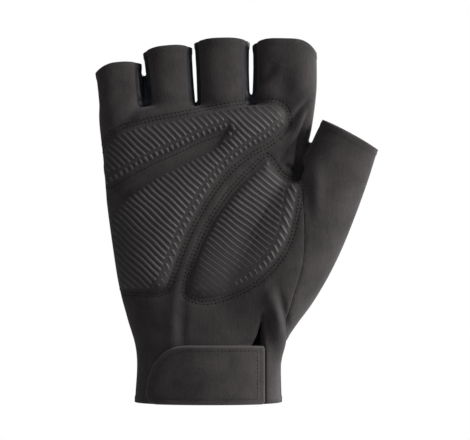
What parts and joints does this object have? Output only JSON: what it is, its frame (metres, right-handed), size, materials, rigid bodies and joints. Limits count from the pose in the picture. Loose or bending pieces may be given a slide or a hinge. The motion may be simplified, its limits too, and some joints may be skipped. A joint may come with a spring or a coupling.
{
  "type": "fingerless cycling glove, right hand",
  "caption": "Fingerless cycling glove for the right hand, filled out as worn: stretch back, suede palm with ribbed pads, wrist slit and closing tab.",
  "frame": {"origin": "middle of the wrist opening, in the plane of the wrist's edge, where the wrist holds the glove up", "axes": "+Z from the wrist to the fingertips, +X to the thumb side, -Y out of the palm"},
  "size_m": [0.1232, 0.0446, 0.161],
  "materials": {
    "suede": "matt synthetic suede with a short nap",
    "stretch_knit": "fine smooth stretch knit with a slight sheen",
    "pad_cover": "suede over foam, with a raised ribbed grip print",
    "grip_print": "matt silicone grip print",
    "thread": "sewing thread"
  },
  "bodies": {
    "root": {"back_panel": "stretch_knit", "palm_panel": "suede", "thumb_panel": "suede", "gusset_little_ring": "stretch_knit", "gusset_ring_middle": "stretch_knit", "gusset_middle_index": "stretch_knit", "palm_pad": "pad_cover", "thumb_base_pad": "pad_cover", "closure_tab": "suede"}
  },
  "joints": []
}
